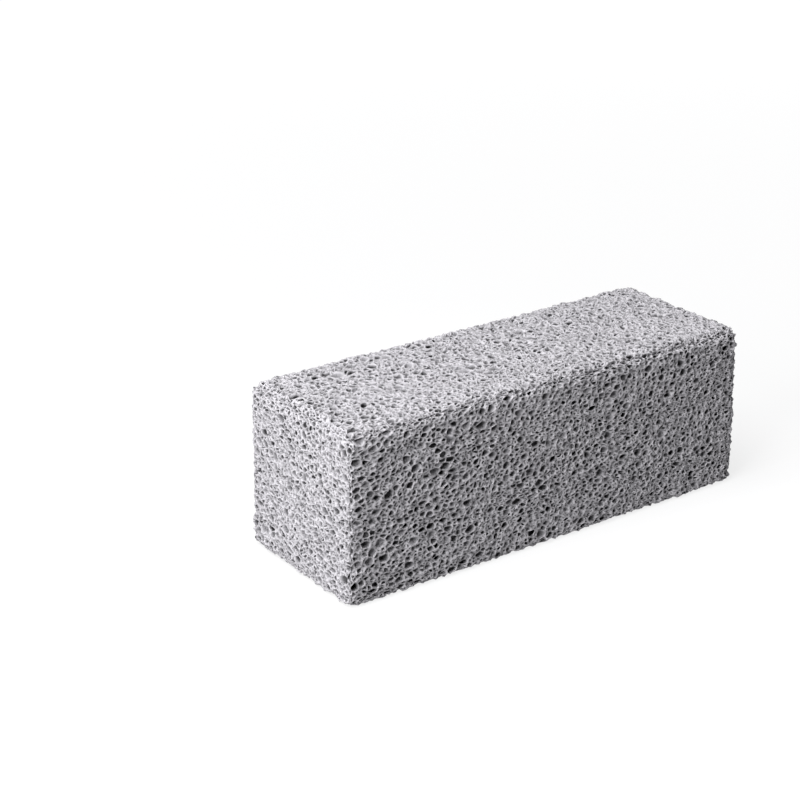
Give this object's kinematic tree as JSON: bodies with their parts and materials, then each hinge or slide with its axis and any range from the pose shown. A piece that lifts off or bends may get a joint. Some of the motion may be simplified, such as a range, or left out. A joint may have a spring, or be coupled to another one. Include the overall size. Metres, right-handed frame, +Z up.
{
  "type": "pumice stone",
  "caption": "Rectangular block of pale grey foamed pumice, pitted with open pores on every side, for scouring by hand.",
  "frame": {"origin": "middle of the underside, on the plane that the block rests on", "axes": "+X along the block's length, +Y across it, +Z up"},
  "size_m": [0.15, 0.0536, 0.0535],
  "materials": {
    "pumice": "matte"
  },
  "bodies": {
    "root": {"pumice_block": "pumice"}
  },
  "joints": []
}
